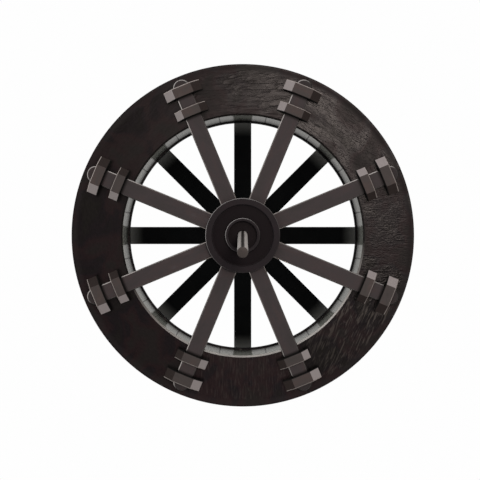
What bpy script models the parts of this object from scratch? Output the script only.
# A garden water wheel, 36 inches across, on a fixed round axle.
# Metres, +Z up. The axle runs along Y and the wheel's front looks towards -Y.
# The origin is the centre of the axle's rear end face.
import math

import bmesh
import bpy
from mathutils import Matrix, Vector

INCH = 0.0254
GAP = 0.0003                      # seat between two pieces that touch

# The wheel
WHEEL_R = 18.0 * INCH             # outside of the two rings
OPENING_R = 0.323                 # inner edge of the two rings
RING_T = 0.020                    # thickness of a ring
RING_EDGE = 0.003                 # chamfer on a ring's outward edges
WHEEL_DEPTH = 0.160               # from one ring's outward face to the other's
ROUND_STEPS = 96                  # facets round the rings and the sole

# The sole closes the buckets towards the axle
SOLE_R = OPENING_R + 0.003        # its inside stands back from the rings' edge
SOLE_T = 0.009

# Bucket boards
BOARD_COUNT = 16
BOARD_T = 0.010
BOARD_SLANT = math.radians(30.0)  # leans from the radius
BOARD_TIP_R = WHEEL_R - 0.006

# Arms: flat bars from the hub to near the rim
ARM_COUNT = 8
ARM_T = 0.008
ARM_ROOT_R = 0.0605
ARM_TIP_R = 0.446
FRONT_ARM_W = 0.0445
REAR_ARM_W = 0.0495
FRONT_ARM_TURN = math.radians(22.5)
ARM_EDGE = 0.0012                 # chamfer on bars and clamps
ARM_END_STEPS = 12

# Clamps: blocks with sloping ends that strap each arm to its ring
CLAMP_H = 0.015
CLAMP_TOE = 0.002                 # height of the thin end of a slope
OUTER_CLAMP_R = 0.4145
OUTER_CLAMP_W = 0.030
OUTER_CLAMP_FOOT = 0.0505         # half length along the ring
OUTER_CLAMP_TOP = 0.026           # half length of the flat top
INNER_CLAMP_R = 0.3565
INNER_CLAMP_W = 0.027
INNER_CLAMP_FOOT = 0.044
INNER_CLAMP_TOP = 0.0245

# Axle
AXLE_R = 0.5 * INCH
STUB = 0.300                      # how far the axle stands out past each ring
AXLE_STEPS = 32
AXLE_EDGE = 0.0012
BEND_ANGLE = math.radians(7.8)    # the front stub hangs below the axis
BEND_R = 0.060
BEND_STEPS = 4

# Hub
HUB_STEPS = 48
BORE_R = AXLE_R + 0.0005          # running clearance on the axle
SLEEVE_R = 0.024
SLEEVE_BACK = 0.036               # reaches into the barrel
HUB_R = 0.0987
HUB_RIM_IN = 0.0816
HUB_RIM_H = 0.015
HUB_DISH = 0.006
BOSS_R = 0.0461
BOSS_IN = 0.0381
BOSS_H = 0.018
RECESS = 0.004
HUB_EDGE = 0.0012
BARREL_R = 0.084
BARREL_WALL = 0.010

# Places along the axle
REAR_FACE_Y = -STUB
FRONT_FACE_Y = REAR_FACE_Y - WHEEL_DEPTH
FRONT_TIP_Y = FRONT_FACE_Y - STUB

FINISHES = {
    "dark_wood": ((0.024, 0.018, 0.017), 0.55, 0.0),
    "sole_wood": ((0.030, 0.028, 0.026), 0.30, 0.0),
    "bar_steel": ((0.048, 0.040, 0.039), 0.45, 0.6),
    "cast_hub": ((0.020, 0.017, 0.018), 0.50, 0.5),
    "rod_steel": ((0.170, 0.165, 0.160), 0.30, 1.0),
}


def clear_scene():
    for thing in list(bpy.data.objects):
        bpy.data.objects.remove(thing, do_unlink=True)


def finish(name):
    """A Principled material of that name, made once."""
    if name in bpy.data.materials:
        return bpy.data.materials[name]
    colour, roughness, metallic = FINISHES[name]
    material = bpy.data.materials.new(name)
    material.use_nodes = True
    shader = material.node_tree.nodes["Principled BSDF"]
    shader.inputs["Base Color"].default_value = (*colour, 1.0)
    shader.inputs["Roughness"].default_value = roughness
    shader.inputs["Metallic"].default_value = metallic
    return material


def mesh_from(name, bm, material):
    bmesh.ops.recalc_face_normals(bm, faces=bm.faces)
    mesh = bpy.data.meshes.new(name)
    bm.to_mesh(mesh)
    bm.free()
    mesh.materials.append(finish(material))
    return mesh


def place(name, mesh, parent=None, turn=0.0):
    """A new object for a mesh, turned about the wheel's axis (towards +Z from +X)."""
    piece = bpy.data.objects.new(name, mesh)
    bpy.context.collection.objects.link(piece)
    piece.rotation_euler = (0.0, -turn, 0.0)
    piece.parent = parent
    return piece


def chamfer(piece, width):
    edge = piece.modifiers.new("edge", "BEVEL")
    edge.width = width
    edge.segments = 1
    edge.limit_method = "ANGLE"
    edge.angle_limit = math.radians(40.0)


def smooth_round(mesh):
    mesh.shade_smooth()
    mesh.set_sharp_from_angle(angle=math.radians(35.0))


def turned(name, profile, steps, material):
    """A closed profile of (radius, y) points spun once round the Y axis."""
    bm = bmesh.new()
    points = [bm.verts.new((radius, y, 0.0)) for radius, y in profile]
    for here, there in zip(points, points[1:] + points[:1]):
        bm.edges.new((here, there))
    bmesh.ops.spin(
        bm, geom=list(bm.verts) + list(bm.edges), cent=(0, 0, 0), axis=(0, 1, 0),
        angle=math.tau, steps=steps, use_merge=True,
    )
    bmesh.ops.remove_doubles(bm, verts=bm.verts, dist=0.00001)
    mesh = mesh_from(name, bm, material)
    smooth_round(mesh)
    return mesh


def prism(name, outline, sweep, material):
    """A flat outline of points carried along the sweep vector."""
    bm = bmesh.new()
    base = bm.faces.new([bm.verts.new(point) for point in outline])
    grown = bmesh.ops.extrude_face_region(bm, geom=[base])
    tops = [part for part in grown["geom"] if isinstance(part, bmesh.types.BMVert)]
    bmesh.ops.translate(bm, verts=tops, vec=sweep)
    return mesh_from(name, bm, material)


def ring_profile(face_y, inward):
    """A ring's section. face_y is its outward face, inward the sign of Y into the wheel."""
    back_y = face_y + inward * RING_T
    edge_y = face_y + inward * RING_EDGE
    return [
        (OPENING_R, edge_y), (OPENING_R + RING_EDGE, face_y),
        (WHEEL_R - RING_EDGE, face_y), (WHEEL_R, edge_y),
        (WHEEL_R, back_y), (OPENING_R, back_y),
    ]


def clamp_outline(at_r, width, foot, top, notch=0.0):
    """Section of a clamp across its arm: X is the radius, Z along the ring, -Y the height.

    Its feet end GAP above the ring's face. notch is the width cut out for the arm, or 0.
    """
    x = at_r - width / 2
    half = [(foot, GAP), (foot, CLAMP_TOE), (top, CLAMP_H)]
    section = [(-z, height) for z, height in half] + [(z, height) for z, height in reversed(half)]
    if notch:
        side = notch / 2 + GAP
        roof = ARM_T + 2 * GAP
        section += [(side, GAP), (side, roof), (-side, roof), (-side, GAP)]
    return [Vector((x, -height, z)) for z, height in section]


def clamp_mesh(name, at_r, width, foot, top, notch=0.0):
    outline = clamp_outline(at_r, width, foot, top, notch)
    return prism(name, outline, Vector((width, 0.0, 0.0)), "bar_steel")


def arm_mesh(name, width):
    """A flat bar along +X with a round outer end, its back on Y 0."""
    half = width / 2
    centre = ARM_TIP_R - half
    outline = [Vector((ARM_ROOT_R, 0.0, -half))]
    for step in range(ARM_END_STEPS + 1):
        angle = -math.pi / 2 + math.pi * step / ARM_END_STEPS
        outline.append(Vector((centre + half * math.cos(angle), 0.0, half * math.sin(angle))))
    outline.append(Vector((ARM_ROOT_R, 0.0, half)))
    return prism(name, outline, Vector((0.0, -ARM_T, 0.0)), "bar_steel")


def distance_to_circle(start, heading, radius):
    """How far from start, along heading, a straight line meets the circle."""
    along = start.dot(heading)
    return -along + math.sqrt(along * along - start.length_squared + radius * radius)


def board_outline(foot_r):
    """Section of a bucket board: two slanted sides, both ends cut to circles."""
    lean = Vector((math.cos(BOARD_SLANT), -math.sin(BOARD_SLANT)))
    across = Vector((math.sin(BOARD_SLANT), math.cos(BOARD_SLANT)))
    corners = []
    for side in (-0.5, 0.5):
        start = Vector((foot_r, 0.0)) + across * side * BOARD_T
        ends = [start + lean * distance_to_circle(start, lean, r) for r in (foot_r, BOARD_TIP_R)]
        corners += ends if side < 0 else reversed(ends)
    return corners


def hub_profile(back_y, outward):
    """Section of a hub. back_y lies on the arms; outward is the sign of Y away from them."""
    edge = HUB_EDGE
    section = [
        (BORE_R, -SLEEVE_BACK), (SLEEVE_R, -SLEEVE_BACK), (SLEEVE_R, 0.0), (HUB_R, 0.0),
        (HUB_R, HUB_RIM_H - edge), (HUB_R - edge, HUB_RIM_H),
        (HUB_RIM_IN + edge, HUB_RIM_H), (HUB_RIM_IN, HUB_RIM_H - edge),
        (HUB_RIM_IN, HUB_DISH), (BOSS_R, HUB_DISH),
        (BOSS_R, BOSS_H - edge), (BOSS_R - edge, BOSS_H),
        (BOSS_IN + edge, BOSS_H), (BOSS_IN, BOSS_H - edge),
        (BOSS_IN, RECESS), (BORE_R, RECESS),
    ]
    return [(radius, back_y + outward * height) for radius, height in section]


def axle_mesh(bend_y):
    """A round rod: straight through the wheel, then a short bend and a straight front stub."""
    def station(y, drop, tilt, radius):
        return Matrix.Translation((0.0, y, -drop)) @ Matrix.Rotation(tilt, 4, "X"), radius

    stations = [
        station(0.0, 0.0, 0.0, AXLE_R - AXLE_EDGE),
        station(-AXLE_EDGE, 0.0, 0.0, AXLE_R),
    ]
    for step in range(BEND_STEPS + 1):
        tilt = BEND_ANGLE * step / BEND_STEPS
        along = BEND_R * math.sin(tilt)
        drop = BEND_R * (1.0 - math.cos(tilt))
        stations.append(station(bend_y - along, drop, tilt, AXLE_R))
    run = (bend_y - along - FRONT_TIP_Y) / math.cos(BEND_ANGLE)
    for back, radius in ((AXLE_EDGE, AXLE_R), (0.0, AXLE_R - AXLE_EDGE)):
        y = bend_y - along - (run - back) * math.cos(BEND_ANGLE)
        stations.append(station(y, drop + (run - back) * math.sin(BEND_ANGLE), BEND_ANGLE, radius))

    bm = bmesh.new()
    rings = []
    for matrix, radius in stations:
        ring = []
        for step in range(AXLE_STEPS):
            angle = math.tau * step / AXLE_STEPS
            point = Vector((radius * math.cos(angle), 0.0, radius * math.sin(angle)))
            ring.append(bm.verts.new(matrix @ point))
        rings.append(ring)
    for here, there in zip(rings, rings[1:]):
        for i in range(AXLE_STEPS):
            j = (i + 1) % AXLE_STEPS
            bm.faces.new((here[i], here[j], there[j], there[i]))
    bm.faces.new(rings[0])
    bm.faces.new(rings[-1])
    mesh = mesh_from("axle", bm, "rod_steel")
    smooth_round(mesh)
    return mesh


def make_wheel_pivot():
    """The empty that carries every piece that turns, on the axle's axis."""
    pivot = bpy.data.objects.new("wheel_pivot", None)
    bpy.context.collection.objects.link(pivot)
    return pivot


def make_rings_and_sole(pivot):
    for name, face_y, inward in (("front_ring", FRONT_FACE_Y, 1), ("rear_ring", REAR_FACE_Y, -1)):
        place(name, turned(name, ring_profile(face_y, inward), ROUND_STEPS, "dark_wood"), pivot)
    start_y = FRONT_FACE_Y + RING_T + GAP
    end_y = REAR_FACE_Y - RING_T - GAP
    outer_r = SOLE_R + SOLE_T
    section = [(SOLE_R, start_y), (outer_r, start_y), (outer_r, end_y), (SOLE_R, end_y)]
    place("sole", turned("sole", section, ROUND_STEPS, "sole_wood"), pivot)


def make_buckets(pivot):
    front_y = FRONT_FACE_Y + RING_T + GAP
    depth = WHEEL_DEPTH - 2 * (RING_T + GAP)
    outline = [Vector((x, front_y, z)) for x, z in board_outline(SOLE_R + SOLE_T + GAP)]
    mesh = prism("bucket_board", outline, Vector((0.0, depth, 0.0)), "dark_wood")
    for number in range(BOARD_COUNT):
        turn = math.tau * (number + 0.5) / BOARD_COUNT
        place(f"bucket_board_{number + 1}", mesh, pivot, turn)


def clamped_arm_mesh(name, width):
    """An arm in one solid with its two clamps, joined once for its copies to share."""
    bar = place("bar", arm_mesh("bar", width))
    bar.location.y = -GAP
    chamfer(bar, ARM_EDGE)
    blocks = [
        place("block", clamp_mesh("block", OUTER_CLAMP_R, OUTER_CLAMP_W, OUTER_CLAMP_FOOT,
                                  OUTER_CLAMP_TOP)),
        place("block", clamp_mesh("block", INNER_CLAMP_R, INNER_CLAMP_W, INNER_CLAMP_FOOT,
                                  INNER_CLAMP_TOP)),
    ]
    for block in blocks:
        chamfer(block, ARM_EDGE)
        join = bar.modifiers.new("join", "BOOLEAN")
        join.operation = "UNION"
        join.solver = "EXACT"
        join.object = block
    bpy.context.view_layer.update()
    evaluated = bar.evaluated_get(bpy.context.evaluated_depsgraph_get())
    mesh = bpy.data.meshes.new_from_object(evaluated)
    mesh.name = name
    mesh.transform(bar.matrix_world)
    for thing in [bar] + blocks:
        bpy.data.objects.remove(thing)
    return mesh


def make_front_arms(pivot):
    arm = arm_mesh("front_arm", FRONT_ARM_W)
    outer = clamp_mesh("outer_clamp", OUTER_CLAMP_R, OUTER_CLAMP_W, OUTER_CLAMP_FOOT,
                       OUTER_CLAMP_TOP, FRONT_ARM_W)
    inner = clamp_mesh("inner_clamp", INNER_CLAMP_R, INNER_CLAMP_W, INNER_CLAMP_FOOT,
                       INNER_CLAMP_TOP, FRONT_ARM_W)
    for number in range(ARM_COUNT):
        turn = FRONT_ARM_TURN + math.tau * number / ARM_COUNT
        for kind, mesh, lift in (("front_arm", arm, GAP), ("outer_clamp", outer, 0.0),
                                 ("inner_clamp", inner, 0.0)):
            piece = place(f"{kind}_{number + 1}", mesh, pivot, turn)
            piece.location.y = FRONT_FACE_Y - lift
            chamfer(piece, ARM_EDGE)


def make_rear_arms(pivot):
    """The rear arms face the other way: the front pattern turned half round about X."""
    arm = clamped_arm_mesh("rear_arm", REAR_ARM_W)
    arm.transform(Matrix.Rotation(math.pi, 4, "X"))
    for number in range(ARM_COUNT):
        piece = place(f"rear_arm_{number + 1}", arm, pivot, math.tau * number / ARM_COUNT)
        piece.location.y = REAR_FACE_Y


def make_hub(pivot):
    front_y = FRONT_FACE_Y - ARM_T - 2 * GAP
    rear_y = REAR_FACE_Y + ARM_T + 2 * GAP
    place("front_hub", turned("front_hub", hub_profile(front_y, -1), HUB_STEPS, "cast_hub"), pivot)
    place("rear_hub", turned("rear_hub", hub_profile(rear_y, 1), HUB_STEPS, "cast_hub"), pivot)
    barrel = [
        (BARREL_R - BARREL_WALL, FRONT_FACE_Y), (BARREL_R, FRONT_FACE_Y),
        (BARREL_R, REAR_FACE_Y), (BARREL_R - BARREL_WALL, REAR_FACE_Y),
    ]
    place("hub_barrel", turned("hub_barrel", barrel, HUB_STEPS, "cast_hub"), pivot)


def main():
    clear_scene()
    bend_y = FRONT_FACE_Y - ARM_T - 2 * GAP - BOSS_H / 2
    place("axle", axle_mesh(bend_y))
    pivot = make_wheel_pivot()
    make_rings_and_sole(pivot)
    make_buckets(pivot)
    make_front_arms(pivot)
    make_rear_arms(pivot)
    make_hub(pivot)


main()
